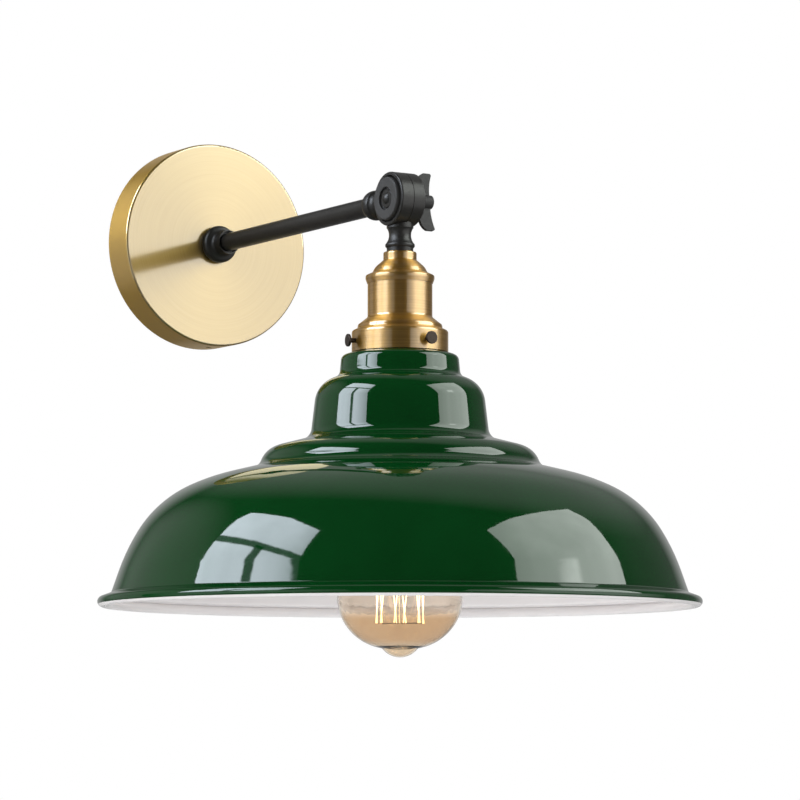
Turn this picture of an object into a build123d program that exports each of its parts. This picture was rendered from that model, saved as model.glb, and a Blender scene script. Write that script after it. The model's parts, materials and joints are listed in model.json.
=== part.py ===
from build123d import *
from math import asin, cos, pi, radians, sin, sqrt, tan
import os

# Driving dimensions in mm: the wall is the plane y = 0, the lamp stands out towards -Y, +Z is up
# The origin is the centre of the wall mount and all heights are taken from the axis of the arm
reach = 217.7          # wall to the axis of the tilting knuckle
slip = 0.05            # radial clearance of sliding and screwed fits
loose = 0.2            # radial clearance of plain screw holes
clear = 0.3            # gap between pieces that turn past each other

# Wall bracket and canopy
canopy_r = 57.7
canopy_depth = 21.8
canopy_sheet = 1.2
canopy_edge = 1.3
strip_half = 10.0      # half width of the bracket strip
strip_t = 2.0
tab_half = 6.0
tab_z = 55.6           # outer side of the bent end tabs
tab_out = 18.0         # how far the tabs stand out from the wall
slot_z = 39.7          # height of the wall screw slots
slot_r = 2.4
slot_run = 9.5         # travel of a screw in its slot
wire_hole_r = 8.0
earth_z = 22.0
side_screw_y = 12.8
side_screw_r = 1.5
side_screw_len = 7.4
side_screw_in = 0.4    # the side screws end this far under the canopy's surface

# Arm, its collar and the nipple through the canopy
arm_r = 5.0
arm_bore = 3.9
nipple_r = arm_bore - slip
wire_r = 2.2           # wire way through the stems and nipples
nut_flats = 13.0
nut_t = 4.0
washer_t = 1.2
nipple_in = 9.8        # how far the nipple reaches in behind the canopy face
nipple_len = 28.0
collar_r = 10.5
collar_ring = 5.2      # thickness of the collar's wide ring
collar_round = 2.5
collar_neck = 7.2      # start of the collar's neck in front of the canopy
collar_neck_r = 6.4
collar_lip_r = 6.75
collar_lip_t = 0.6
collar_bore = 2.4      # depth of the open mouth round the arm
collar_out = 14.2      # length of the collar in front of the canopy

# Knuckle: two half barrels on an axis along X
knuckle_r = 14.1
knuckle_half = 7.3     # half the length of the barrel
rim_gap = clear / 2    # each half stops this far from the seam
hub_r = 6.2
pad_half = 0.5         # half the thickness of the friction washer
chamber_r = 11.2
chamber_floor = 3.4
boss_r = 7.0
boss_out = 15.0        # knuckle axis to the seat of a spool
stem_r = 4.6
bolt_r = 2.0
square = 4.3           # side of the square neck of the bolt
square_in = 2.0        # how far the square neck reaches in behind the plate
face_bore = 12.3
face_depth = 2.2
plate_r = 11.35
plate_proud = 1.9
plate_recess_r = 6.0
plate_recess = 1.6
bolt_flange_r = 5.0
bolt_flange_t = 0.9
bolt_head_r = 3.1
bolt_head_h = 1.5      # height of the domed head on its flange

# Wing nut on the +X side
wing_washer_t = 1.0
wing_hub_r = 3.7
wing_hub_len = 10.6
wing_span = 15.4       # axis to the tip of a wing
wing_in = 2.6          # inner edge of the wings, from the hub's inner end
wing_back = 1.1        # outer edge of the wings at the hub, from the hub's outer end
wing_half_t = 1.0
wing_turn = -7.6

# Arm ferrule and neck spool
ferrule_end = 20.4     # knuckle axis to the end of the arm tube in the ferrule
ferrule_bell = 24.6    # knuckle axis to the middle of the ferrule's bell
ferrule_bell_r = 7.85
ferrule_len = 29.2     # knuckle axis to the end of the ferrule on the arm
ferrule_lip_r = 5.8
waist_r = 5.75
waist_at = 18.4
flare_r = 7.72
spool_end = 25.3
seat_r = 6.9
seat_end = 27.6

# Brass cap and fitter cup
brass_t = 0.9
cap_r = 8.65
bead_r = 17.9
cup_r = 16.8
cup_top = 41.6
ring_r = 25.05
ring_end = 80.0
stem_end = 47.5

# Thumbscrews
screw_z = 74.8
screw_turns = (1.9, 131.3, -99.3)    # front, right and left screw from straight ahead, degrees
thumb_r = 1.25
thumb_head_r = 3.3
thumb_face = 29.6
thumb_head_t = 1.3

# Shade: visible side of the sheet, corners as radius, height and corner radius
shade_t = 1.0
neck_r = 21.9
lip_r = 23.7
lip_z = thumb_r + clear - screw_z
neck_slope = 16.0      # degrees below level of the sheet round the neck
shoulder_1 = (30.4, -81.85, 3.14)
valley_1 = (31.36, -92.2, 4.2)
shoulder_2 = (43.08, -96.84, 14.0)
valley_2 = (46.31, -124.44, 6.8)
shoulder_3 = (69.64, -130.53, 11.9)
valley_3 = (72.78, -139.25, 6.0)
dome_slope = 13.7      # degrees below level where the dome starts
dome_width = 65.61     # where the first arc of the dome starts, in from the rim
dome_arcs = ((106.3, 11.0), (59.5, 34.2), (106.2, 12.0))
rim_slope = 20.0       # degrees below level of the turned-out flange at the rim
rim_corner_r = 1.0
rim_roll_r = 2.75      # rolled edge
rim_r = 155.1
rim_z = -209.2

# Lampholder
plate_z = 42.0         # top of the strap that carries the lampholder
strap_half = 5.0
strap_out = 13.2
strap_t = 1.2
holder_top = 58.0
holder_top_r = 15.2
holder_r = 17.5
holder_mouth = 114.0
holder_floor = 90.6
strap_screw_x = 9.5
terminal_z = 72.0

# Bulb
cap_shell_r = 13.1     # crest of the bulb cap, a screw fit in the lampholder shell
cap_t = 0.6
contact_z = -92.6
insulator_z = -94.4
cap_top = -97.5
cap_end = -119.5
shell_t = 0.65
glass_t = 0.8
glass_r = 32.4
glass_widest = -206.0
glass_top = -106.0     # the glass ends inside the cap
glass_end_r = 27.0     # radius of the rounded bulb end
glass_tip = -237.4
nub_r = 9.2
stem_rod_r = 1.3
cage_r = 12.8
cage_top = -150.0
cage_end = -220.0
cage_strands = 12
wire_thin = 0.3

# Reference planes and axes
pivot = (0, -reach, 0)
head_plane = Plane.XZ.offset(reach)
head_axis = Axis(pivot, (0, 0, 1))
knuckle_plane = Plane(pivot, x_dir=(1, 0, 0), z_dir=(0, 0, 1))
knuckle_axis = Axis(pivot, (1, 0, 0))


def outline(*corners, closed=True):
    """Straight runs with rounded corners; a corner is (u, v) or (u, v, radius)."""
    count = len(corners)
    corners = [tuple(c) for c in corners]
    places = [Vector(c[0], c[1]) for c in corners]
    bends = []
    for i, corner in enumerate(corners):
        rounded = len(corner) > 2 and (closed or 0 < i < count - 1)
        u = (places[i - 1] - places[i]).normalized()
        v = (places[(i + 1) % count] - places[i]).normalized()
        half = radians(u.get_angle(v)) / 2
        bends.append((u, v, half, corner[2] / tan(half) if rounded else 0))
    runs = []
    for i, (u, v, half, cut) in enumerate(bends):
        place = places[i]
        if not cut:
            runs.append((place, place))
            continue
        shares = [(places[j] - place).length / (cut + bends[j][3]) for j in (i - 1, (i + 1) % count)]
        cut *= min(1, *shares)
        before = place + u * cut
        after = place + v * cut
        middle = place + (u + v).normalized() * cut * tan(half) * (1 / sin(half) - 1)
        ThreePointArc(before, middle, after)
        runs.append((before, after))
    for i in range(count if closed else count - 1):
        start = runs[i][1]
        end = runs[(i + 1) % count][0]
        if (end - start).length > 1e-4:
            Line(start, end)
    return runs[-1][1]


def cap_middle(radius, height):
    """Middle of the arc of a ball cap: distance from its axis and height under its top."""
    ball = (radius ** 2 + height ** 2) / (2 * height)
    middle = asin(radius / ball) / 2
    return ball * sin(middle), ball * (1 - cos(middle))


# Wall bracket: strip with bent end tabs, wall screw slots, wire hole and tapped holes
with BuildPart() as wall_bracket:
    with BuildSketch(Plane.XZ):
        Rectangle(2 * strip_half, 2 * (tab_z - strip_t - 3))
        Rectangle(2 * tab_half, 2 * tab_z)
        Circle(wire_hole_r, mode=Mode.SUBTRACT)
        with Locations((0, slot_z), (0, -slot_z)):
            SlotCenterToCenter(slot_run, 2 * slot_r, rotation=90, mode=Mode.SUBTRACT)
        with Locations((0, earth_z)):
            Circle(side_screw_r + slip, mode=Mode.SUBTRACT)
    extrude(amount=strip_t)
    with BuildSketch(Plane.XZ):
        with Locations((0, tab_z - strip_t / 2), (0, strip_t / 2 - tab_z)):
            Rectangle(2 * tab_half, strip_t)
    extrude(amount=tab_out)
    with BuildSketch(Plane.XY.offset(-tab_z)):
        with Locations((0, -side_screw_y)):
            Circle(side_screw_r + slip)
    extrude(amount=2 * tab_z, mode=Mode.SUBTRACT)
    bend_edges = wall_bracket.edges().filter_by(Axis.X).group_by(Axis.Y)[-1]
    fillet(bend_edges.sort_by(Axis.Z)[0], radius=strip_t * 0.8)
    bend_edges = wall_bracket.edges().filter_by(Axis.X).group_by(Axis.Y)[-1]
    fillet(bend_edges.sort_by(Axis.Z)[-1], radius=strip_t * 0.8)

# Earth screw on the bracket
with BuildPart() as earth_screw:
    with BuildSketch(Plane.XY.offset(earth_z)):
        with BuildLine():
            outline((0, -strip_t - 2.4), (3.4, -strip_t - 2.4, 0.8), (3.4, -strip_t),
                    (side_screw_r, -strip_t), (side_screw_r, -0.3), (0, -0.3))
        make_face()
    revolve(axis=Axis((0, 0, earth_z), (0, 1, 0)))

# Canopy: turned cup over the bracket, open to the wall
with BuildPart() as canopy:
    with BuildSketch(Plane.XY):
        with BuildLine():
            outline((canopy_r, 0), (canopy_r, -canopy_depth, canopy_edge),
                    (nipple_r + loose, -canopy_depth),
                    (nipple_r + loose, canopy_sheet - canopy_depth),
                    (canopy_r - canopy_sheet, canopy_sheet - canopy_depth, 0.4),
                    (canopy_r - canopy_sheet, 0))
        make_face()
    revolve(axis=Axis.Y)
    with BuildSketch(Plane.XY.offset(-canopy_r)):
        with Locations((0, -side_screw_y)):
            Circle(side_screw_r + loose)
    extrude(amount=2 * canopy_r, mode=Mode.SUBTRACT)

# Side screws that pin the canopy on the bracket tabs
with BuildPart() as canopy_screws:
    with BuildSketch(Plane.XY.offset(canopy_r - side_screw_in)):
        with Locations((0, -side_screw_y)):
            Circle(side_screw_r)
    extrude(amount=-side_screw_len)
    mirror(about=Plane.XY)

# Nipple that ties the arm to the canopy
with BuildPart() as arm_nipple:
    with BuildSketch(Plane.XZ.offset(canopy_depth - nipple_in)):
        Circle(nipple_r)
        Circle(wire_r, mode=Mode.SUBTRACT)
    extrude(amount=nipple_len)

# Washer and lock nut inside the canopy
with BuildPart() as canopy_washer:
    with BuildSketch(Plane.XZ.offset(canopy_depth - canopy_sheet)):
        Circle(9)
        Circle(nipple_r + loose, mode=Mode.SUBTRACT)
    extrude(amount=-washer_t)

with BuildPart() as canopy_nut:
    with BuildSketch(Plane.XZ.offset(canopy_depth - canopy_sheet - washer_t)):
        RegularPolygon(nut_flats / 2, 6, major_radius=False)
        Circle(nipple_r + slip, mode=Mode.SUBTRACT)
    extrude(amount=-nut_t)

# Turned collar where the arm leaves the canopy
with BuildPart() as arm_collar:
    with BuildSketch(Plane.XY):
        face = -canopy_depth
        mouth = face - collar_out
        with BuildLine():
            outline((arm_r + slip, face), (collar_r, face, collar_round),
                    (collar_r, face - collar_ring, collar_round),
                    (collar_neck_r, face - collar_neck, collar_round), (collar_lip_r, mouth),
                    (collar_lip_r - collar_lip_t, mouth),
                    (collar_lip_r - collar_lip_t, mouth + collar_bore),
                    (arm_r + slip, mouth + collar_bore))
        make_face()
    revolve(axis=Axis.Y)

# Arm tube
with BuildPart() as arm_tube:
    with BuildSketch(Plane.XZ.offset(canopy_depth)):
        Circle(arm_r)
        Circle(arm_bore, mode=Mode.SUBTRACT)
    extrude(amount=reach - canopy_depth - ferrule_end)

# Ferrule: waisted sleeve with a bell towards the arm tube
with BuildPart() as arm_ferrule:
    with BuildSketch(Plane.XY):
        base = -reach
        bell_start = base + ferrule_end + 0.4
        with BuildLine():
            Line((stem_r + slip, base + boss_out), (boss_r - 0.15, base + boss_out))
            ThreePointArc((boss_r - 0.15, base + boss_out), (waist_r, base + waist_at - 1),
                          (ferrule_bell_r - 0.4, bell_start))
            ThreePointArc((ferrule_bell_r - 0.4, bell_start), (ferrule_bell_r, base + ferrule_bell),
                          (ferrule_lip_r, base + ferrule_len - 0.6))
            Polyline((ferrule_lip_r, base + ferrule_len - 0.6), (ferrule_lip_r, base + ferrule_len),
                     (arm_r + slip, base + ferrule_len), (arm_r + slip, base + ferrule_end),
                     (stem_r + slip, base + ferrule_end), (stem_r + slip, base + boss_out))
        make_face()
    revolve(axis=Axis.Y)

# Arm half of the knuckle: half barrel, boss reaching over the other half, stem into the arm
with BuildPart() as knuckle_arm_half:
    with BuildSketch(knuckle_plane):
        with BuildLine():
            outline((-knuckle_half, 0), (-knuckle_half, knuckle_r, 0.9),
                    (-rim_gap, knuckle_r), (-rim_gap, 0))
        make_face()
    revolve(axis=knuckle_axis)
    arm_seat = Plane((0, boss_out - reach, 0), x_dir=(1, 0, 0), z_dir=(0, 1, 0))
    with BuildSketch(arm_seat):
        Circle(boss_r)
    extrude(amount=-5)
    with BuildSketch(arm_seat):
        Circle(stem_r)
    extrude(amount=ferrule_end - boss_out - slip)
    with BuildSketch(arm_seat.offset(ferrule_end - boss_out - slip)):
        Circle(nipple_r)
    extrude(amount=16)
    with BuildSketch(knuckle_plane):
        with Locations((knuckle_half / 2 - rim_gap, knuckle_r / 2 + clear / 2)):
            Rectangle(knuckle_half, knuckle_r + clear)
        with BuildLine():
            outline((-rim_gap, 0), (-rim_gap, chamber_r), (-chamber_floor, chamber_r, 0.5),
                    (-chamber_floor, hub_r, 0.5), (-pad_half, hub_r), (-pad_half, 0))
        make_face()
        with Locations((face_depth / 2 - knuckle_half, face_bore / 2)):
            Rectangle(face_depth, face_bore)
    revolve(axis=knuckle_axis, mode=Mode.SUBTRACT)
    with BuildSketch(Plane.YZ.offset(-knuckle_half)):
        with Locations((-reach, 0)):
            Rectangle(square + 2 * slip, square + 2 * slip)
    extrude(amount=knuckle_half, mode=Mode.SUBTRACT)
    with BuildSketch(arm_seat.offset(-6)):
        Circle(wire_r)
    extrude(amount=40, mode=Mode.SUBTRACT)

# Plate in the outer face of the knuckle, with a recess for the bolt head
with BuildPart() as knuckle_plate:
    plate_in = face_depth - knuckle_half
    plate_out = -knuckle_half - plate_proud
    with BuildSketch(knuckle_plane):
        with BuildLine():
            outline((plate_in, 0), (plate_in, plate_r), (plate_out, plate_r, 0.9),
                    (plate_out, plate_recess_r, 0.3), (plate_out + plate_recess, plate_recess_r, 0.3),
                    (plate_out + plate_recess, 0))
        make_face()
    revolve(axis=knuckle_axis)
    with BuildSketch(Plane.YZ.offset(plate_out)):
        with Locations((-reach, 0)):
            Rectangle(square + 2 * slip, square + 2 * slip)
    extrude(amount=face_depth + plate_proud, mode=Mode.SUBTRACT)

# Pivot bolt with domed head and square neck
with BuildPart() as pivot_bolt:
    head_seat = plate_out + plate_recess
    flange = head_seat - bolt_flange_t
    wing_end = knuckle_half + wing_washer_t + wing_hub_len
    with BuildSketch(knuckle_plane):
        with BuildLine():
            Polyline((head_seat, 0), (head_seat, bolt_flange_r), (flange + 0.3, bolt_flange_r),
                     (flange, bolt_flange_r - 0.3), (flange, bolt_head_r))
            away, under = cap_middle(bolt_head_r, bolt_head_h)
            ThreePointArc((flange, bolt_head_r), (flange - bolt_head_h + under, away),
                          (flange - bolt_head_h, 0))
            Line((flange - bolt_head_h, 0), (head_seat, 0))
        make_face()
    revolve(axis=knuckle_axis)
    with BuildSketch(Plane.YZ.offset(head_seat)):
        with Locations((-reach, 0)):
            Rectangle(square, square)
    extrude(amount=plate_in + square_in - head_seat)
    with BuildSketch(Plane.YZ.offset(head_seat)):
        with Locations((-reach, 0)):
            Circle(bolt_r)
    extrude(amount=wing_end - head_seat - 0.4)

# Friction washer between the hubs of the two halves
with BuildPart() as friction_washer:
    with BuildSketch(Plane.YZ.offset(-pad_half)):
        with Locations((-reach, 0)):
            Circle(hub_r - clear)
            Circle(square * sqrt(0.5) + loose, mode=Mode.SUBTRACT)
    extrude(amount=2 * pad_half)

# Head half of the knuckle: half barrel, boss below, hollow stem down into the brass cap
with BuildPart() as knuckle_head_half:
    with BuildSketch(knuckle_plane):
        with BuildLine():
            outline((knuckle_half, 0), (knuckle_half, knuckle_r, 0.9), (rim_gap, knuckle_r), (rim_gap, 0))
        make_face()
    revolve(axis=knuckle_axis)
    head_seat_plane = Plane((0, -reach, -boss_out), x_dir=(1, 0, 0), z_dir=(0, 0, -1))
    with BuildSketch(head_seat_plane):
        Circle(boss_r)
    extrude(amount=-5)
    with BuildSketch(head_seat_plane):
        Circle(stem_r)
    extrude(amount=stem_end - boss_out)
    with BuildSketch(knuckle_plane):
        with Locations((rim_gap - knuckle_half / 2, knuckle_r / 2 + clear / 2)):
            Rectangle(knuckle_half, knuckle_r + clear)
        with BuildLine():
            outline((rim_gap, 0), (rim_gap, chamber_r), (chamber_floor, chamber_r, 0.5),
                    (chamber_floor, hub_r, 0.5), (pad_half, hub_r), (pad_half, 0))
        make_face()
        with Locations((knuckle_half / 2, bolt_r / 2 + slip / 2)):
            Rectangle(knuckle_half + 1, bolt_r + slip)
    revolve(axis=knuckle_axis, mode=Mode.SUBTRACT)
    with BuildSketch(head_seat_plane.offset(-6)):
        Circle(wire_r)
    extrude(amount=40, mode=Mode.SUBTRACT)

# Washer under the wing nut
with BuildPart() as wing_washer:
    with BuildSketch(Plane.YZ.offset(knuckle_half)):
        with Locations((-reach, 0)):
            Circle(5.5)
            Circle(bolt_r + slip, mode=Mode.SUBTRACT)
    extrude(amount=wing_washer_t)

# Wing nut: bored hub with two flared ears
with BuildPart() as wing_nut:
    hub_in = knuckle_half + wing_washer_t
    hub_out = hub_in + wing_hub_len
    with BuildSketch(Plane.XZ.offset(reach)):
        with BuildLine():
            root = wing_hub_r - 1
            ear_in = hub_in + wing_in
            ear_out = hub_out - wing_back
            Line((ear_in, root), (ear_in, wing_span * 0.62))
            ThreePointArc((ear_in, wing_span * 0.62), (ear_in + 1.4, wing_span * 0.87),
                          (ear_in + 4.0, wing_span))
            Line((ear_in + 4.0, wing_span), (hub_out - 0.3, wing_span))
            ThreePointArc((hub_out - 0.3, wing_span), (hub_out + 0.5, wing_span - 0.35),
                          (hub_out + 0.7, wing_span - 1.2))
            ThreePointArc((hub_out + 0.7, wing_span - 1.2), (ear_out + 0.2, wing_span / 2),
                          (ear_out, root))
            Line((ear_out, root), (ear_in, root))
        make_face()
    extrude(amount=wing_half_t, both=True)
    mirror(about=Plane.XY)
    with BuildSketch(knuckle_plane):
        with BuildLine():
            outline((hub_in, 0), (hub_in, 4.8), (hub_in + 1.2, 4.8, 0.5), (hub_in + 2.6, wing_hub_r),
                    (hub_out, wing_hub_r, 0.4), (hub_out, 0))
        make_face()
    revolve(axis=knuckle_axis)
    with BuildSketch(Plane.YZ.offset(hub_in)):
        with Locations((-reach, 0)):
            Circle(bolt_r + slip)
    extrude(amount=wing_hub_len, mode=Mode.SUBTRACT)
wing_nut.part = wing_nut.part.rotate(knuckle_axis, wing_turn)

# Neck spool between the knuckle and the brass cap
with BuildPart() as neck_spool:
    with BuildSketch(head_plane):
        with BuildLine():
            Line((stem_r + slip, -boss_out), (boss_r - 0.15, -boss_out))
            ThreePointArc((boss_r - 0.15, -boss_out), (waist_r, -waist_at),
                          (flare_r - 0.45, -spool_end + 2.25))
            ThreePointArc((flare_r - 0.45, -spool_end + 2.25), (flare_r, -spool_end + 1.0),
                          (flare_r - 0.55, -spool_end))
            Polyline((flare_r - 0.55, -spool_end), (stem_r + slip, -spool_end), (stem_r + slip, -boss_out))
        make_face()
    revolve(axis=head_axis)

# Seat ring under the spool
with BuildPart() as seat_ring:
    with BuildSketch(Plane.XY.offset(-seat_end)):
        with Locations((0, -reach)):
            Circle(seat_r)
            Circle(stem_r + slip, mode=Mode.SUBTRACT)
    extrude(amount=seat_end - spool_end)

# Brass cap: top tube, dome and rolled bead, spun from sheet
with BuildPart() as socket_cap:
    skirt = cup_r + slip
    with BuildSketch(head_plane):
        with BuildLine():
            outline((stem_r + loose, -seat_end), (cap_r, -seat_end, 0.8), (cap_r, -31.8, 0.6),
                    (12.8, -35.4, 7.0), (14.45, -38.4, 0.9), (bead_r, -40.0, 0.9), (bead_r, -41.7, 0.9),
                    (skirt + 0.3, -43.9), (skirt, -43.9), (skirt, -cup_top + 0.1),
                    (13.6, -cup_top + 2.4, 0.6), (12.0, -36.4, 6.0), (cap_r - brass_t, -32.8, 0.9),
                    (cap_r - brass_t, -seat_end - brass_t, 0.4), (stem_r + loose, -seat_end - brass_t))
        make_face()
    revolve(axis=head_axis)

# Fitter cup: tube, flare and ring with three tapped holes
with BuildPart() as fitter_cup:
    with BuildSketch(head_plane):
        with BuildLine():
            outline((cup_r, -cup_top), (cup_r, -61.7, 1.8), (21.85, -65.7, 1.0), (22.1, -67.6, 0.6),
                    (ring_r, -69.0, 1.6), (ring_r, -ring_end), (ring_r - brass_t, -ring_end),
                    (ring_r - brass_t, -69.9, 0.8), (21.2, -68.2, 1.3), (21.0, -66.4, 0.5),
                    (cup_r - brass_t, -62.3, 2.4), (cup_r - brass_t, -cup_top))
        make_face()
    revolve(axis=head_axis)
    for turn in screw_turns:
        angle = radians(turn)
        way = (sin(angle), -cos(angle), 0)
        with BuildSketch(Plane((0, -reach, -screw_z), x_dir=(0, 0, 1), z_dir=way)):
            Circle(thumb_r + slip)
        extrude(amount=ring_r + 2, mode=Mode.SUBTRACT)

# Lock nuts on the stem: one under the cap, two clamping the lampholder strap
with BuildPart() as stem_nuts:
    for top in (seat_end + brass_t, plate_z - nut_t, plate_z + strap_t):
        with BuildSketch(Plane.XY.offset(-top - nut_t)):
            with Locations((0, -reach)):
                RegularPolygon(nut_flats / 2, 6, major_radius=False)
                Circle(stem_r + slip, mode=Mode.SUBTRACT)
        extrude(amount=nut_t)

# Strap that hangs the lampholder from the stem
with BuildPart() as holder_strap:
    with BuildSketch(head_plane):
        inner = strap_out - strap_t
        foot = strap_screw_x - 3.5
        with BuildLine():
            outline((-strap_out, -plate_z, 1.6), (strap_out, -plate_z, 1.6), (strap_out, -holder_top),
                    (foot, -holder_top), (foot, -holder_top + strap_t), (inner, -holder_top + strap_t),
                    (inner, -plate_z - strap_t, 0.4), (-inner, -plate_z - strap_t, 0.4),
                    (-inner, -holder_top + strap_t), (-foot, -holder_top + strap_t), (-foot, -holder_top),
                    (-strap_out, -holder_top))
        make_face()
    extrude(amount=strap_half, both=True)
    with BuildSketch(Plane.XY.offset(-plate_z)):
        with Locations((0, -reach)):
            Circle(stem_r + loose)
    extrude(amount=-2 * strap_t, mode=Mode.SUBTRACT)
    with BuildSketch(Plane.XY.offset(-holder_top - 1)):
        with Locations((strap_screw_x, -reach), (-strap_screw_x, -reach)):
            Circle(thumb_r + loose)
    extrude(amount=strap_t + 2, mode=Mode.SUBTRACT)

# Screws that hold the lampholder on the strap
with BuildPart() as holder_screws:
    with BuildSketch(Plane.XY.offset(-holder_top + strap_t)):
        with Locations((strap_screw_x, -reach), (-strap_screw_x, -reach)):
            Circle(2.4)
    extrude(amount=1.6)
    with BuildSketch(Plane.XY.offset(-holder_top + strap_t)):
        with Locations((strap_screw_x, -reach), (-strap_screw_x, -reach)):
            Circle(thumb_r)
    extrude(amount=-8)

# Lampholder body
with BuildPart() as lampholder_body:
    bore = cap_shell_r + 2 * slip + shell_t
    with BuildSketch(head_plane):
        with BuildLine():
            outline((4.0, -holder_top), (holder_top_r, -holder_top, 0.6), (holder_top_r, -63.5, 0.8),
                    (holder_r, -66.0, 0.8), (holder_r, -holder_mouth, 1.2), (bore, -holder_mouth, 0.3),
                    (bore, -holder_floor), (4.0, -holder_floor))
        make_face()
    revolve(axis=head_axis)
    with BuildSketch(Plane.XY.offset(-holder_top)):
        with Locations((strap_screw_x, -reach), (-strap_screw_x, -reach)):
            Circle(thumb_r + slip)
    extrude(amount=-9, mode=Mode.SUBTRACT)
    with BuildSketch(Plane.XZ.offset(reach)):
        with Locations((0, -terminal_z)):
            Circle(thumb_r + slip)
    extrude(amount=holder_r + 1, both=True, mode=Mode.SUBTRACT)

# Terminal screws on the sides of the lampholder
with BuildPart() as terminal_screws:
    for side in (1, -1):
        with BuildSketch(Plane((0, -reach + side * (holder_r + 0.2), -terminal_z), z_dir=(0, side, 0))):
            Circle(3.0)
        extrude(amount=1.8)
        with BuildSketch(Plane((0, -reach + side * (holder_r + 0.2), -terminal_z), z_dir=(0, side, 0))):
            Circle(thumb_r)
        extrude(amount=-9)

# Threaded shell and centre contact of the lampholder
with BuildPart() as lampholder_shell:
    with BuildSketch(Plane.XY.offset(-holder_mouth + 0.6)):
        with Locations((0, -reach)):
            Circle(cap_shell_r + slip + shell_t)
            Circle(cap_shell_r + slip, mode=Mode.SUBTRACT)
    extrude(amount=19)

with BuildPart() as centre_contact:
    with BuildSketch(head_plane):
        with BuildLine():
            outline((0, -holder_floor), (6.0, -holder_floor), (6.0, -holder_floor - 0.6),
                    (3.2, contact_z, 0.5), (0, contact_z))
        make_face()
    revolve(axis=head_axis)

# Thumbscrews that carry the shade by the lip of its neck
thumbscrew_names = ("thumbscrew_front", "thumbscrew_right", "thumbscrew_left")
thumbscrews = []
for turn in screw_turns:
    angle = radians(turn)
    way = (sin(angle), -cos(angle), 0)
    with BuildPart() as thumbscrew:
        with BuildSketch(Plane((0, -reach, -screw_z), x_dir=way, z_dir=(-way[1], way[0], 0))):
            with BuildLine():
                outline((neck_r + clear, 0), (thumb_face, 0), (thumb_face, thumb_head_r, 0.35),
                        (thumb_face - thumb_head_t, thumb_head_r, 0.35),
                        (thumb_face - thumb_head_t, thumb_r), (neck_r + clear, thumb_r, 0.3))
            make_face()
        revolve(axis=Axis((0, -reach, -screw_z), way))
    thumbscrews.append(thumbscrew)

# Shade: one spun sheet from the lip of the neck over three shoulders and the dome to a rolled rim
with BuildPart() as shade:
    with BuildSketch(head_plane):
        with BuildLine():
            neck_foot = shoulder_1[1] + (shoulder_1[0] - neck_r) * tan(radians(neck_slope))
            slope = radians(dome_slope)
            dome_r = rim_r - dome_width
            dome_z = valley_3[1] - (dome_r - valley_3[0]) * tan(slope)
            place = outline((lip_r, lip_z), (neck_r, lip_z, 0.6), (neck_r, neck_foot, 1.0), shoulder_1,
                            valley_1, shoulder_2, valley_2, shoulder_3, valley_3, (dome_r, dome_z),
                            closed=False)
            for radius, sweep in dome_arcs:
                arc = JernArc(place, (cos(slope), -sin(slope)), radius, -sweep)
                place = arc @ 1
                slope += radians(sweep)
            out = radians(rim_slope)
            roll = Vector(rim_r - rim_roll_r, rim_z)
            touch = roll + Vector(sin(out), cos(out)) * rim_roll_r
            gap = place - touch
            run = -(gap.X * sin(out) + gap.Y * cos(out)) / sin(out - slope)
            corner = place + Vector(cos(slope), -sin(slope)) * run
            outline(place, (corner.X, corner.Y, rim_corner_r), touch, closed=False)
            offset(amount=shade_t, side=Side.RIGHT)
        make_face()
        with Locations(roll):
            Circle(rim_roll_r)
    revolve(axis=head_axis)

# Bulb cap with insulator and centre contact
with BuildPart() as bulb_cap:
    with BuildSketch(head_plane):
        with BuildLine():
            outline((cap_shell_r, cap_end), (cap_shell_r, cap_top, 1.2), (11.0, cap_top),
                    (11.0, cap_top - cap_t), (cap_shell_r - cap_t, cap_top - cap_t, 0.6),
                    (cap_shell_r - cap_t, cap_end))
        make_face()
    revolve(axis=head_axis)

with BuildPart() as bulb_insulator:
    with BuildSketch(head_plane):
        with BuildLine():
            outline((0, insulator_z), (6.2, insulator_z), (11.0 - slip, cap_top + 0.2, 0.4),
                    (11.0 - slip, cap_top - 1.6), (0, cap_top - 1.6))
        make_face()
    revolve(axis=head_axis)

with BuildPart() as bulb_contact:
    with BuildSketch(head_plane):
        with BuildLine():
            outline((0, contact_z), (4.8, contact_z, 0.9), (4.8, insulator_z), (0, insulator_z))
        make_face()
    revolve(axis=head_axis)

# Bulb glass: drop shape with a drawn tip, hollow, open into the cap
with BuildPart() as bulb_glass:
    glass_neck = cap_shell_r - cap_t - slip
    end_r = glass_r - glass_end_r
    tip_angle = radians(74)
    with BuildSketch(head_plane):
        with BuildLine():
            for skin in (0, glass_t):
                ball = glass_end_r - skin
                nub = nub_r - skin
                turn = glass_widest - ball * sin(tip_angle)
                Line((glass_neck - skin, glass_top), (glass_neck - skin, cap_end))
                Spline((glass_neck - skin, cap_end), (glass_r - skin, glass_widest),
                       tangents=((0, -1), (0, -1)))
                CenterArc((end_r, glass_widest), ball, 0, -74)
                Line((end_r + ball * cos(tip_angle), turn), (nub, turn - 0.9))
                away, under = cap_middle(nub, turn - 0.9 - glass_tip - skin)
                ThreePointArc((nub, turn - 0.9), (away, glass_tip + skin + under), (0, glass_tip + skin))
            Line((glass_neck, glass_top), (glass_neck - glass_t, glass_top))
            Line((0, glass_tip), (0, glass_tip + glass_t))
        make_face()
    revolve(axis=head_axis)

# Glass stem and rod inside the bulb
with BuildPart() as bulb_stem:
    stem_flare_r = glass_neck - glass_t - slip
    with BuildSketch(head_plane):
        with BuildLine():
            outline((0, -110), (stem_flare_r, -110), (stem_flare_r, -111), (3.4, -124, 4.0),
                    (3.4, -138, 1.0), (stem_rod_r, -140), (stem_rod_r, cage_end - 3), (0, cage_end - 3))
        make_face()
    revolve(axis=head_axis)

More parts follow.
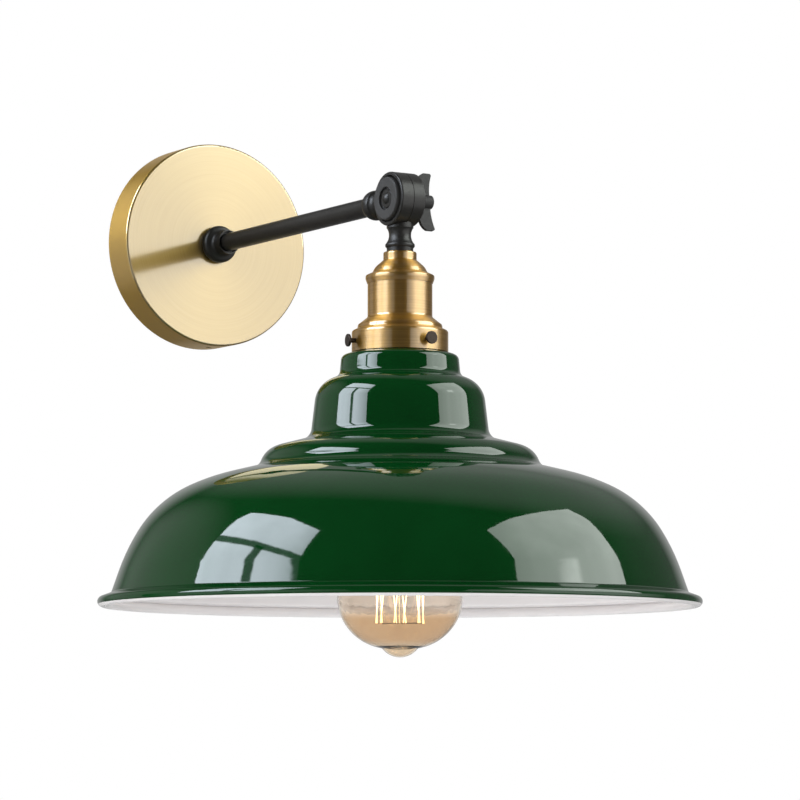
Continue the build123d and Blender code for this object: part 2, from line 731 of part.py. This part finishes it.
# Lead wires from the stem to the top of the cage
with BuildPart() as lead_wires:
    for side in (1, -1):
        low = Vector(side * (cage_r - 1.5), -reach, cage_top - 0.6)
        high = Vector(side * (stem_rod_r + 2.7), -reach, -138.5)
        with BuildSketch(Plane(high, z_dir=low - high)):
            Circle(wire_thin)
        extrude(amount=(low - high).length)

# Hook wires at both ends of the cage
with BuildPart() as filament_hooks:
    for level, offset_turn in ((cage_top, 0.0), (cage_end, 0.5)):
        for k in range(cage_strands // 2):
            angle = 2 * pi * (k + offset_turn) / (cage_strands // 2) + 0.3
            way = Vector(cos(angle), sin(angle), 0)
            with BuildSketch(Plane(Vector(0, -reach, level) + way * (stem_rod_r + 0.05), z_dir=way)):
                Circle(wire_thin * 0.7)
            extrude(amount=cage_r - stem_rod_r - 0.6)

# Filament: strands running up and down between the hooks
with BuildPart() as filament:
    for k in range(cage_strands):
        top_turn = 2 * pi * ((k + 1) // 2) / (cage_strands // 2) + 0.3
        end_turn = 2 * pi * (k // 2 + 0.5) / (cage_strands // 2) + 0.3
        shift = 0.05 if k % 2 else -0.05
        high = Vector(cage_r * cos(top_turn + shift), cage_r * sin(top_turn + shift) - reach, cage_top)
        low = Vector(cage_r * cos(end_turn - shift), cage_r * sin(end_turn - shift) - reach, cage_end)
        with BuildSketch(Plane(high, z_dir=low - high)):
            Circle(wire_thin)
        extrude(amount=(low - high).length)

# Names and files
pieces = {
    "wall_bracket": wall_bracket, "earth_screw": earth_screw, "canopy": canopy,
    "canopy_screws": canopy_screws, "arm_nipple": arm_nipple, "canopy_washer": canopy_washer,
    "canopy_nut": canopy_nut, "arm_collar": arm_collar, "arm_tube": arm_tube, "arm_ferrule": arm_ferrule,
    "knuckle_arm_half": knuckle_arm_half, "knuckle_plate": knuckle_plate, "pivot_bolt": pivot_bolt,
    "friction_washer": friction_washer, "knuckle_head_half": knuckle_head_half, "wing_washer": wing_washer,
    "wing_nut": wing_nut, "neck_spool": neck_spool, "seat_ring": seat_ring, "socket_cap": socket_cap,
    "fitter_cup": fitter_cup, "stem_nuts": stem_nuts, "holder_strap": holder_strap,
    "holder_screws": holder_screws, "lampholder_body": lampholder_body, "terminal_screws": terminal_screws,
    "lampholder_shell": lampholder_shell, "centre_contact": centre_contact, "shade": shade,
    "bulb_cap": bulb_cap, "bulb_insulator": bulb_insulator, "bulb_contact": bulb_contact,
    "bulb_glass": bulb_glass, "bulb_stem": bulb_stem, "lead_wires": lead_wires,
    "filament_hooks": filament_hooks, "filament": filament,
}
for name, screw in zip(thumbscrew_names, thumbscrews):
    pieces[name] = screw
os.makedirs("parts", exist_ok=True)
for name, piece in pieces.items():
    piece.part.label = name
    export_step(piece.part, f"parts/{name}.step")
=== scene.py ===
import json
import math

import bpy
from mathutils import Matrix, Quaternion, Vector


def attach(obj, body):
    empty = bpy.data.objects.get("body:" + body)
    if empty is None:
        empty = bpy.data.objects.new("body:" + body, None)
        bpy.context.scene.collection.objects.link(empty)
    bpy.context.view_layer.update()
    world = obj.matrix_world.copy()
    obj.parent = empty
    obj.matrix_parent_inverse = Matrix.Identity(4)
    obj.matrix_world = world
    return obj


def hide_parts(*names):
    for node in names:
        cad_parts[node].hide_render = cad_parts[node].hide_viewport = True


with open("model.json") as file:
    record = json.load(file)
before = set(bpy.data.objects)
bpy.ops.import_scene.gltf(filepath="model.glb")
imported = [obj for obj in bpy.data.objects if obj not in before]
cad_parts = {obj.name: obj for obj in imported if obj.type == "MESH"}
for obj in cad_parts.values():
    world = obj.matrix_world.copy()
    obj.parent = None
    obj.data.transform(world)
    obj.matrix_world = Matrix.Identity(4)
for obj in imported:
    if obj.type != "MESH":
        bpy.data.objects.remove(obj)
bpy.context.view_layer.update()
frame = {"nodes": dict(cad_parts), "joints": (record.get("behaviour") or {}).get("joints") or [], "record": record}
nodes = frame["nodes"]
slot_of = {p["node"]: p["material_slot"] for p in frame["record"]["subparts"]}
pivot = Vector(next(j["pos_m"] for j in frame["joints"] if j["name"] == "head_tilt"))
mm = 0.001


def direction(az, el):
    """The way from the object to a place round it: azimuth from straight ahead, elevation, in degrees."""
    a, e = math.radians(az), math.radians(el)
    return Vector((math.sin(a) * math.cos(e), -math.cos(a) * math.cos(e), math.sin(e)))


def placed(name, data):
    """A new object in the scene."""
    made = bpy.data.objects.new(name, data)
    bpy.context.scene.collection.objects.link(made)
    return made


class Nodes:
    """A node tree and short calls that add to it."""

    def __init__(self, tree):
        self.tree = tree

    def add(self, kind, **settings):
        node = self.tree.nodes.new("ShaderNode" + kind)
        for name, value in settings.items():
            setattr(node, name, value)
        return node

    def put(self, value, socket):
        """Links another socket to this one, or sets a plain value on it."""
        if isinstance(value, bpy.types.NodeSocket):
            self.tree.links.new(value, socket)
        else:
            socket.default_value = value

    def math(self, operation, a, b=0.0):
        node = self.add("Math", operation=operation)
        self.put(a, node.inputs[0])
        self.put(b, node.inputs[1])
        return node.outputs[0]

    def vector(self, operation, a, b=(0, 0, 0), result="Vector"):
        node = self.add("VectorMath", operation=operation)
        self.put(a, node.inputs[0])
        self.put(b, node.inputs[1])
        return node.outputs[result]

    def dot(self, a, b):
        return self.vector("DOT_PRODUCT", a, b, "Value")

    def split(self, vector):
        node = self.add("SeparateXYZ")
        self.put(vector, node.inputs[0])
        return node.outputs

    def span(self, value, low, high, to_low=0.0, to_high=1.0, smooth=False):
        """A value between low and high, brought to the range from to_low to to_high and held there."""
        node = self.add("MapRange", interpolation_type="SMOOTHSTEP" if smooth else "LINEAR")
        self.put(value, node.inputs["Value"])
        for name, bound in (("From Min", low), ("From Max", high), ("To Min", to_low), ("To Max", to_high)):
            node.inputs[name].default_value = bound
        return node.outputs["Result"]

    def mix(self, share, a, b):
        """Two colours mixed. A Mix node has its colours at inputs 6 and 7 and at output 2."""
        node = self.add("Mix", data_type="RGBA")
        self.put(share, node.inputs[0])
        self.put(a, node.inputs[6])
        self.put(b, node.inputs[7])
        return node.outputs[2]


class Look(Nodes):
    """A procedural material round one principled shader."""

    def __init__(self, name, **values):
        self.material = bpy.data.materials.new(name)
        self.material.use_nodes = True
        super().__init__(self.material.node_tree)
        self.shader = self.tree.nodes["Principled BSDF"]
        self.place = self.add("TexCoord").outputs["Object"]
        self.set(**values)

    def fill(self, shader, values):
        for name, value in values.items():
            self.put(value, shader.inputs[name.replace("_", " ")])

    def set(self, **values):
        self.fill(self.shader, values)

    def noise(self, scale, detail=3.0, stretch=(1, 1, 1), rough=0.55, place=None):
        mapping = self.add("Mapping")
        mapping.inputs["Scale"].default_value = stretch
        self.put(place or self.place, mapping.inputs["Vector"])
        node = self.add("TexNoise")
        self.put(mapping.outputs["Vector"], node.inputs["Vector"])
        node.inputs["Scale"].default_value = scale
        node.inputs["Detail"].default_value = detail
        node.inputs["Roughness"].default_value = rough
        return node.outputs["Fac"]

    def vary(self, noise, low=0.0, high=1.0):
        """A noise, whose values mostly lie between 0.3 and 0.7, brought to the range from low to high."""
        return self.span(noise, 0.3, 0.7, low, high)

    def tint(self, noise, dark, light):
        return self.mix(self.vary(noise), dark, light)

    def round_y(self, middle):
        """Object coordinates with the distance from a Y axis, less y, in place of y: lines run round it."""
        x, y, z = self.split(self.vector("SUBTRACT", self.place, middle))
        squares = [self.math("MULTIPLY", value, value) for value in (x, z)]
        away = self.math("SQRT", self.math("ADD", *squares))
        joined = self.add("CombineXYZ")
        for value, socket in zip((x, self.math("SUBTRACT", away, y), z), joined.inputs):
            self.put(value, socket)
        return joined.outputs[0]

    def bump(self, height, depth, strength=1.0):
        node = self.add("Bump")
        node.inputs["Strength"].default_value = strength
        node.inputs["Distance"].default_value = depth
        self.put(height, node.inputs["Height"])
        self.set(Normal=node.outputs["Normal"])

    def cover(self, share, **values):
        """A second principled shader over the first, by a share."""
        top = self.add("BsdfPrincipled")
        self.fill(top, values)
        both = self.add("MixShader")
        for value, socket in zip((share, self.shader.outputs[0], top.outputs[0]), both.inputs):
            self.put(value, socket)
        self.put(both.outputs[0], self.tree.nodes["Material Output"].inputs["Surface"])
        return top


# Brass: its brushed lines (noise scale, squeeze across the lines), its tone, its lacquer and its side, which can
# be painted lighter as painted light
brush_lines = ((18.0, 60), (26.0, 90))
cloud_scale = 35.0
line_share, cloud_share = 0.4, 0.2
tone_low, tone_high = 0.35, 0.65
brass_metallic, brass_wear = 0.88, 0.02
lacquer_colour = (0.95, 0.89, 0.76, 1)
side_gloss = 0.18
side_below, front_above = 0.2, 0.8     # how much of a normal lies along the Y axis
quarter_turn = 0.25                    # of the highlights, against the way round the axis


def brass(name, light, dark, roughness, axis, lengthwise, gloss, gloss_roughness, middle=None, painted_side_colour=None):
    """Brushed and lacquered brass: brown metal under a pale gloss, with fine lines round its axis.

    With a painted side colour, the side takes that lighter colour as painted light and less gloss than the faces
    square to the Y axis.
    """
    look = Look(name, Metallic=brass_metallic, Specular_IOR_Level=0.0, Anisotropic=lengthwise)
    place = look.round_y(middle) if axis == "Y" else look.place
    lines = []
    for scale, finer in brush_lines:
        squeeze = (1, finer, 1) if axis == "Y" else (1, 1, finer)
        lines.append(look.noise(scale, 1.0, squeeze, 0.5, place))
    cloud = look.noise(cloud_scale)
    brushed = look.math("MULTIPLY", look.math("ADD", *lines), line_share)
    tone = look.math("ADD", brushed, look.math("MULTIPLY", cloud, cloud_share))
    colour = look.mix(look.span(tone, tone_low, tone_high), dark, light)
    share = gloss
    # Painted light: the side takes a lighter colour than the faces, standing in for the light that falls on it
    if painted_side_colour:
        facing = look.math("ABSOLUTE", look.dot(look.add("NewGeometry").outputs["Normal"], (0, 1, 0)))
        side = look.span(facing, side_below, front_above, 1.0, 0.0)
        colour = look.mix(side, colour, painted_side_colour)
        share = look.span(side, 0.0, 1.0, gloss, side_gloss)
    look.set(Base_Color=colour, Roughness=look.vary(cloud, roughness - brass_wear, roughness + brass_wear))
    top = look.cover(share, Base_Color=lacquer_colour, Metallic=1.0, Roughness=gloss_roughness,
                     Anisotropic=lengthwise)
    tangent = look.add("Tangent", direction_type="RADIAL", axis=axis).outputs["Tangent"]
    for shader in (look.shader, top):
        look.fill(shader, {"Anisotropic_Rotation": quarter_turn, "Tangent": tangent})
    return look


# Paint: the noise scales of its grain and of its tone
grain_scale, tone_scale = 900.0, 40.0
grain_depth = 0.04 * mm


def painted(name, colour, dark, roughness, metallic=0.0, worn=0.06):
    """Paint, plating or fired clay: a fine grain and a slow change of tone."""
    look = Look(name, Metallic=metallic)
    grain = look.noise(grain_scale)
    look.set(Base_Color=look.tint(look.noise(tone_scale), dark, colour))
    look.set(Roughness=look.vary(grain, roughness - worn, roughness + worn))
    look.bump(grain, grain_depth)
    return look


# Enamel: the noise scales of its ripple, its waves and its colour, and how deep the first two go
ripple_scale, wave_scale, mottle_scale = 260.0, 75.0, 30.0
wave_depth, wave_strength, ripple_share = 0.3 * mm, 0.11, 0.12
enamel_ior, enamel_roughness = 1.62, (0.025, 0.055)


def enamelled(name, dark, light):
    """Fired glass over the sheet: very smooth, with slow waves and a fine ripple in it."""
    look = Look(name, IOR=enamel_ior)
    ripple = look.noise(ripple_scale, 2.0)
    look.set(Base_Color=look.tint(look.noise(mottle_scale), dark, light))
    look.set(Roughness=look.vary(ripple, *enamel_roughness))
    waves = look.math("ADD", look.noise(wave_scale, 2.0), look.math("MULTIPLY", ripple, ripple_share))
    look.bump(waves, wave_depth, wave_strength)
    return look


def bend(corners, step=6.0):
    """Straight runs with rounded corners (r, z, radius): places and left-hand normals along them."""
    made = []
    for i, corner in enumerate(corners):
        place = Vector(corner[:2])
        before = (place - Vector(corners[i - 1][:2])).normalized() if i else None
        after = (Vector(corners[i + 1][:2]) - place).normalized() if i + 1 < len(corners) else None
        if before is None or after is None:
            way = after if before is None else before
            made.append((place, Vector((-way.y, way.x))))
            continue
        turn = math.atan2(before.cross(after), before.dot(after))
        radius = corner[2]
        start = place - before * radius * math.tan(abs(turn) / 2)
        made += arc(start, before, radius, math.degrees(turn), step)
    return made


def arc(start, way, radius, turn, step):
    """An arc from a place along a heading, turning left for a positive angle: places and normals."""
    left = Vector((-way.y, way.x))
    centre = start + left * math.copysign(radius, turn)
    count = max(2, math.ceil(abs(turn) / step))
    made = []
    for k in range(count + 1):
        swing = Matrix.Rotation(math.radians(turn) * k / count, 2)
        made.append((centre + swing @ (start - centre), swing @ left))
    return made


def turned(name, rings, segments):
    """A closed turned piece on the head's axis.

    Each ring is (place, normal before it, normal after it, number of the material after it).
    """
    count = len(rings)
    spots = []
    for place, *_ in rings:
        for k in range(segments):
            a = 2 * math.pi * k / segments
            spots.append(pivot + Vector((place.x * math.cos(a), place.x * math.sin(a), place.y)) * mm)
    faces, finish, normals = [], [], []
    for i in range(count):
        j = (i + 1) % count
        for k in range(segments):
            m = (k + 1) % segments
            faces.append((i * segments + k, j * segments + k, j * segments + m, i * segments + m))
            finish.append(rings[i][3])
            for ring, side, turn in ((i, 2, k), (j, 1, k), (j, 1, m), (i, 2, m)):
                a = 2 * math.pi * turn / segments
                n = rings[ring][side]
                normals.append((n.x * math.cos(a), n.x * math.sin(a), n.y))
    mesh = bpy.data.meshes.new(name)
    mesh.from_pydata(spots, [], faces)
    mesh.polygons.foreach_set("material_index", finish)
    mesh.polygons.foreach_set("use_smooth", [True] * len(faces))
    mesh.normals_split_custom_set(normals)
    return placed(name, mesh)


# Camera: below the arm, to the left of straight ahead
aim = pivot + Vector((0, 0, -104.645)) * mm
distance = 1.784
back = direction(-32.04, -5.564)
camera = placed("camera", bpy.data.cameras.new("camera"))
camera.data.lens = 155.25
camera.data.sensor_width = 36.0
camera.location = aim + back * distance
camera.rotation_euler = (-back).to_track_quat("-Z", "Y").to_euler()
bpy.context.scene.camera = camera
bpy.context.scene.view_settings.view_transform = "Standard"

# Brass finishes
canopy_middle = sum((Vector(corner) for corner in nodes["canopy"].bound_box), Vector()) / 8
looks = {
    # The canopy's side colour is painted light that makes its side lighter than its face
    "canopy_brass": brass("canopy_brass", light=(0.435, 0.29, 0.072, 1), dark=(0.40, 0.26, 0.057, 1),
                          roughness=0.40, axis="Y", lengthwise=0.45, gloss=0.36, gloss_roughness=0.11,
                          middle=canopy_middle, painted_side_colour=(0.74, 0.45, 0.08, 1)),
    "aged_brass": brass("aged_brass", light=(0.69, 0.38, 0.064, 1), dark=(0.51, 0.26, 0.030, 1),
                        roughness=0.47, axis="Z", lengthwise=0.9, gloss=0.27, gloss_roughness=0.17),
}

# Paint, plating and fired clay: colour, darker tone, roughness, and what else differs
paints = {
    "black_paint": ((0.0150, 0.0138, 0.0118, 1), (0.0115, 0.0105, 0.0090, 1), 0.38, {}),
    "matte_paint": ((0.0300, 0.0295, 0.0290, 1), (0.0250, 0.0245, 0.0240, 1), 0.60, {}),
    "dark_bronze": ((0.060, 0.045, 0.036, 1), (0.040, 0.030, 0.024, 1), 0.32, {"metallic": 0.8}),
    "zinc_steel": ((0.62, 0.63, 0.64, 1), (0.50, 0.51, 0.52, 1), 0.33, {"metallic": 1.0}),
    "earth_green": ((0.04, 0.26, 0.07, 1), (0.03, 0.20, 0.05, 1), 0.35, {}),
    "fibre": ((0.22, 0.07, 0.04, 1), (0.16, 0.05, 0.03, 1), 0.65, {}),
    "porcelain": ((0.84, 0.82, 0.77, 1), (0.80, 0.78, 0.72, 1), 0.16, {"worn": 0.04}),
    "contact_brass": ((0.78, 0.58, 0.28, 1), (0.66, 0.48, 0.22, 1), 0.30, {"metallic": 1.0}),
    "black_glass": ((0.012, 0.012, 0.016, 1), (0.008, 0.008, 0.012, 1), 0.12, {"worn": 0.04}),
    "wire_steel": ((0.40, 0.37, 0.33, 1), (0.30, 0.27, 0.24, 1), 0.35, {"metallic": 1.0}),
}
for name, (colour, dark, roughness, more) in paints.items():
    looks[name] = painted(name, colour, dark, roughness, **more)

# Enamel: green outside and white inside
looks["green_enamel"] = enamelled("green_enamel", (0.0009, 0.0410, 0.0062, 1), (0.0014, 0.0510, 0.0085, 1))
white_enamel = enamelled("white_enamel", (0.81, 0.785, 0.79, 1), (0.84, 0.82, 0.82, 1))

# Bulb glass: stained amber over its lower end; lighter at the drawn tip, partly a painted highlight; pale above,
# as painted light for the white inside of the shade seen through it
glass_ior = 1.5
tip_highlight_colour, painted_pale_colour = (0.86, 0.75, 0.61, 1), (0.95, 0.875, 0.785, 1)
tip_height, painted_pale_height = (5 * mm, 9 * mm), (19 * mm, 25 * mm)     # above its lowest point
amber = Look("amber_glass", Transmission_Weight=1.0, IOR=glass_ior)
cloud = amber.noise(25.0)
stain = amber.tint(cloud, (0.77, 0.61, 0.45, 1), (0.80, 0.65, 0.49, 1))
glass_end = min(corner[2] for corner in nodes["bulb_glass"].bound_box)
height = amber.split(amber.place)["Z"]
above_tip, painted_pale_share = [amber.span(height, glass_end + low, glass_end + high, smooth=True)
                          for low, high in (tip_height, painted_pale_height)]
# The lighter drawn tip is partly a painted highlight
stain = amber.mix(above_tip, tip_highlight_colour, stain)
# The pale upper part is painted light: the white inside of the shade seen through the glass
amber.set(Base_Color=amber.mix(painted_pale_share, stain, painted_pale_colour), Roughness=amber.vary(cloud, 0.0, 0.012))
looks["amber_glass"] = amber

# Clear glass of the bulb's stem
clear = Look("clear_glass", Transmission_Weight=1.0, IOR=glass_ior)
cloud = clear.noise(60.0)
clear.set(Base_Color=clear.tint(cloud, (0.93, 0.94, 0.93, 1), (0.97, 0.97, 0.96, 1)))
clear.set(Roughness=clear.vary(cloud, 0.0, 0.02))
looks["clear_glass"] = clear

# Lit filament
glow = Look("glow", Roughness=0.5, Emission_Strength=3.6)
heat = glow.noise(140.0, 2.0)
glow.set(Base_Color=glow.mix(heat, (0.9, 0.55, 0.2, 1), (1.0, 0.75, 0.4, 1)))
glow.set(Emission_Color=glow.mix(heat, (1.0, 0.70, 0.36, 1), (1.0, 0.80, 0.50, 1)))
looks["glow"] = glow

# Every CAD node gets the look of its slot, apart from two black pieces that are matt
matt_pieces = {"knuckle_plate": "matte_paint", "wing_nut": "matte_paint"}
for name, node in nodes.items():
    node.data.materials.clear()
    node.data.materials.append(looks[matt_pieces.get(name, slot_of[name])].material)

# Shade: a turned sheet with a rolled rim, sizes in mm as in the CAD node
shade_t = 1.0
lip_r, lip_z, lip_corner_r = 23.7, -73.25, 0.6
neck_r, neck_slope, neck_corner_r = 21.9, 16.0, 1.0
shoulder_1 = (30.4, -81.85, 3.14)
neck_foot = shoulder_1[1] + (shoulder_1[0] - neck_r) * math.tan(math.radians(neck_slope))
shade_top = ((lip_r, lip_z), (neck_r, lip_z, lip_corner_r), (neck_r, neck_foot, neck_corner_r), shoulder_1,
             (31.36, -92.2, 4.2), (43.08, -96.84, 14.0), (46.31, -124.44, 6.8), (69.64, -130.53, 11.9),
             (72.78, -139.25, 6.0))
dome_slope, dome_width, dome_step = 13.7, 65.61, 2.5
dome_arcs = ((106.3, 11.0), (59.5, 34.2), (106.2, 12.0))
rim_slope, rim_corner_r, roll_r, rim_r, rim_z = 20.0, 1.0, 2.75, 155.1, -209.2
white_from = -30.0     # the white enamel starts this far under the widest line of the roll, degrees
green_steps, white_steps = 14, 28     # round the roll
shade_segments = 192
green, white = 0, 1     # numbers of its two materials

# The visible side down to the flange: neck, shoulders, dome arcs and the corner of the flange
slope = math.radians(dome_slope)
dome_r = rim_r - dome_width
dome_z = shade_top[-1][1] - (dome_r - shade_top[-1][0]) * math.tan(slope)
sheet = bend([*shade_top, (dome_r, dome_z)])
for radius, sweep in dome_arcs:
    sheet += arc(sheet[-1][0], Vector((math.cos(slope), -math.sin(slope))), radius, -sweep, dome_step)[1:]
    slope += math.radians(sweep)
out = math.radians(rim_slope)
roll = Vector((rim_r - roll_r, rim_z))
flange_up = Vector((math.sin(out), math.cos(out)))
touch = roll + flange_up * roll_r
gap = sheet[-1][0] - touch
reach_down = -gap.dot(flange_up) / math.sin(out - slope)
corner = sheet[-1][0] + Vector((math.cos(slope), -math.sin(slope))) * reach_down
sheet += bend([tuple(sheet[-1][0]), (corner.x, corner.y, rim_corner_r), tuple(touch)])[1:]
rings = [[place, normal, normal, green] for place, normal in sheet[:-1]]

# Round the roll until it meets the underside of the flange, then back up one sheet thickness inside
start = 90.0 - rim_slope
end = start + math.degrees(math.acos((roll_r - shade_t) / roll_r)) - 360.0
marks = [start + (white_from - start) * k / green_steps for k in range(green_steps + 1)]
marks += [white_from + (end - white_from) * k / white_steps for k in range(1, white_steps + 1)]
for i, mark in enumerate(marks):
    a = math.radians(mark)
    normal = Vector((math.cos(a), math.sin(a)))
    rings.append([roll + normal * roll_r, normal, normal, green if i < green_steps else white])
rings[-1][2] = -flange_up
rings += [[place - normal * shade_t, -normal, -normal, white] for place, normal in reversed(sheet[:-1])]
rings[0][1] = rings[-1][2] = Vector((1, 0))
shade = turned("shade_enamel", rings, shade_segments)
shade.data.materials.append(looks["green_enamel"].material)
shade.data.materials.append(white_enamel.material)
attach(shade, "head")
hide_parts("shade")

# World: a dim studio for gloss and metal, an even light for matt surfaces, and white for the camera and glass
# Each patch: its direction, the cosines where it starts and is full, and the brightness outside and inside
down = (0, 0, -1)
ground_patch = (down, 0.0, 0.5, 0.03, 0.12)
backdrop = (-back, 0.80, 0.97, 0.0, 0.44)
ceiling = (direction(127.0, 56.0), 0.70, 0.95, 0.0, 0.36)
left_wall = (direction(-150.0, 12.0), 0.76, 0.95, 0.0, 0.33)
right_wall = (direction(105.0, 12.0), 0.75, 0.95, 0.0, 0.12)
ambient = (down, -0.2, 0.3, 0.60, 1.02)
left_side = (direction(-122.0, -10.0), 0.4, 0.9, 0.0, 1.8)

world = bpy.data.worlds.new("studio")
bpy.context.scene.world = world
world.use_nodes = True
sky = Nodes(world.node_tree)
way = sky.add("TexCoord").outputs["Generated"]
path = sky.add("LightPath")


def sky_patch(towards, starts, full, outside, inside):
    """The brightness of one patch of the world."""
    return sky.span(sky.dot(way, towards), starts, full, outside, inside, smooth=True)


level = sky_patch(*ground_patch)
for patch in (backdrop, ceiling, left_wall, right_wall):
    level = sky.math("MAXIMUM", level, sky_patch(*patch))
soft = sky.math("ADD", sky_patch(*ambient), sky_patch(*left_side))
soft = sky.math("MULTIPLY", path.outputs["Is Diffuse Ray"], soft)
seen = sky.math("MAXIMUM", path.outputs["Is Camera Ray"], path.outputs["Is Transmission Ray"])
room = sky.tree.nodes["Background"]
sky.put(sky.math("MAXIMUM", seen, sky.math("MAXIMUM", level, soft)), room.inputs["Color"])
room.inputs["Strength"].default_value = 1.0

# Pale floor below the object, clear from underneath and towards its edge
floor_z, floor_r = -1.3, 1.6
fade_from, fade_to = 0.7, 1.5
floor_corners = [(x * floor_r, y * floor_r, floor_z) for x, y in ((-1, -1), (1, -1), (1, 1), (-1, 1))]
floor_mesh = bpy.data.meshes.new("floor")
floor_mesh.from_pydata(floor_corners, [], [(0, 1, 2, 3)])
floor = placed("floor", floor_mesh)
floor.visible_glossy = False
ground = Look("floor", Roughness=0.9)
ground.set(Base_Color=ground.mix(ground.noise(3.0, 2.0), (0.86, 0.86, 0.86, 1), (0.88, 0.88, 0.88, 1)))
from_middle = ground.vector("LENGTH", ground.vector("MULTIPLY", ground.place, (1, 1, 0)), result="Value")
inner = ground.math("SUBTRACT", 1.0, ground.span(from_middle, fade_from, fade_to, smooth=True))
upper = ground.math("SUBTRACT", 1.0, ground.add("NewGeometry").outputs["Backfacing"])
ground.set(Alpha=ground.math("MULTIPLY", inner, upper))
floor_mesh.materials.append(ground.material)

# Lamps: how far they stand from a place in the shade, in metres, and how even they are
lamp_away = 2.6
lamp_middle = pivot + Vector((0, 0, -0.15))
lamp_cloud_scale, lamp_cloud = 1.6, (0.90, 1.08)
bar_level = 0.06                     # light left in a glazing bar
bar_inner, bar_outer = 0.8, 1.2      # its soft edge, as shares of its half thickness
spot_core = 0.6                      # share of a spot's half size that is full


def softbox(name, az, el, width, height, colour, radiance, fades, roll=0.0, bars=(), spots=(), taper=1.0,
            lean=0.0, mirrored=True, lights=False):
    """A glowing panel in a direction from the shade, with its width and height given as angles in degrees.

    taper is the length of its top edge as a share of the lower one, and lean moves the top edge sideways.
    Across the panel x and y run from -1 to 1. A fade (x, x, least) dims it from full at the second x to least
    at the first. A bar (axis, place, half thickness, from, to) is a dark glazing bar along that axis. A spot
    (x, y, half size, gain) is a brighter square. A panel that is mirrored shows in gloss and metal, and one
    that lights gives light to matt surfaces.
    """
    out = direction(az, el)
    across = Vector((math.cos(math.radians(az)), math.sin(math.radians(az)), 0))
    across.rotate(Quaternion(out, math.radians(roll)))
    up = out.cross(across)
    half_x, half_y = [lamp_away * math.tan(math.radians(angle) / 2) for angle in (width, height)]
    corners = [(-half_x, -half_y, 0), (half_x, -half_y, 0), (half_x * (taper + lean), half_y, 0),
               (-half_x * (taper - lean), half_y, 0)]
    mesh = bpy.data.meshes.new(name)
    mesh.from_pydata(corners, [], [(3, 2, 1, 0)])
    panel = placed(name, mesh)
    turn = Matrix((across, up, out)).transposed().to_4x4()
    turn.translation = lamp_middle + out * lamp_away
    panel.matrix_world = turn
    panel.visible_camera = False
    panel.visible_shadow = False
    panel.visible_glossy = mirrored
    panel.visible_diffuse = lights
    look = Look(name, Base_Color=(0, 0, 0, 1), Specular_IOR_Level=0.0, Emission_Color=colour)
    place = look.split(look.place)
    x = look.math("DIVIDE", place["X"], half_x)
    y = look.math("DIVIDE", place["Y"], half_y)
    level = look.vary(look.noise(lamp_cloud_scale), *lamp_cloud)
    for start, end, least in fades:
        level = look.math("MULTIPLY", level, look.span(x, start, end, least, 1.0, smooth=True))
    for axis, middle, thick, start, end in bars:
        along, beside = (y, x) if axis == "y" else (x, y)
        apart = look.math("ABSOLUTE", look.math("SUBTRACT", beside, middle))
        passed = look.span(apart, thick * bar_inner, thick * bar_outer, bar_level, 1.0)
        after_start = look.math("GREATER_THAN", along, start)
        before_end = look.math("LESS_THAN", along, end)
        outside = look.math("SUBTRACT", 1.0, look.math("MULTIPLY", after_start, before_end))
        level = look.math("MULTIPLY", level, look.math("MAXIMUM", passed, outside))
    for spot_x, spot_y, half, gain in spots:
        near = []
        for value, middle in ((x, spot_x), (y, spot_y)):
            apart = look.math("ABSOLUTE", look.math("SUBTRACT", value, middle))
            near.append(look.span(apart, half, half * spot_core))
        level = look.math("ADD", level, look.math("MULTIPLY", look.math("MULTIPLY", *near), gain))
    front = look.math("SUBTRACT", 1.0, look.add("NewGeometry").outputs["Backfacing"])
    look.set(Emission_Strength=look.math("MULTIPLY", look.math("MULTIPLY", level, front), radiance))
    mesh.materials.append(look.material)


# Two windows that show in gloss, metal and glass and give no other light
softbox("window", az=-99.8, el=34.6, width=47.0, height=39.0, colour=(0.88, 0.96, 1.08, 1), radiance=7.9,
        fades=((1.0, 0.2, 0.55),), roll=-2.0, bars=(("y", 0.0, 0.08, -1.0, 0.2), ("x", 0.2, 0.07, -1.0, 1.0)),
        taper=0.72, lean=-0.10)
softbox("right_box", az=47.5, el=34.5, width=50.0, height=39.0, colour=(0.95, 1.0, 0.96, 1), radiance=4.1,
        fades=((-1.0, -0.2, 0.75),), roll=-4.0, spots=((-0.1, -0.37, 0.21, 0.6),), taper=0.86)

# Two low panels that show and give light
softbox("left_low", az=-97.0, el=-5.0, width=92.0, height=40.0, colour=(0.97, 1.0, 1.03, 1), radiance=0.66,
        fades=((1.0, 0.15, 0.50), (-1.0, 0.0, 0.05)), lights=True)
softbox("right_low", az=38.0, el=-5.0, width=92.0, height=40.0, colour=(1.0, 1.0, 1.0, 1), radiance=1.4,
        fades=((-1.0, -0.25, 0.50), (1.0, 0.1, 0.20)), lights=True)

# Two fills that give even light and don't show in gloss or metal
softbox("left_fill", az=-120.0, el=30.0, width=70.0, height=55.0, colour=(1.0, 1.0, 1.0, 1), radiance=3.1,
        fades=((1.0, 0.0, 0.2),), mirrored=False, lights=True)
softbox("right_fill", az=60.0, el=40.0, width=60.0, height=50.0, colour=(1.0, 1.0, 1.0, 1), radiance=1.3,
        fades=((-1.0, 0.0, 0.3),), mirrored=False, lights=True)
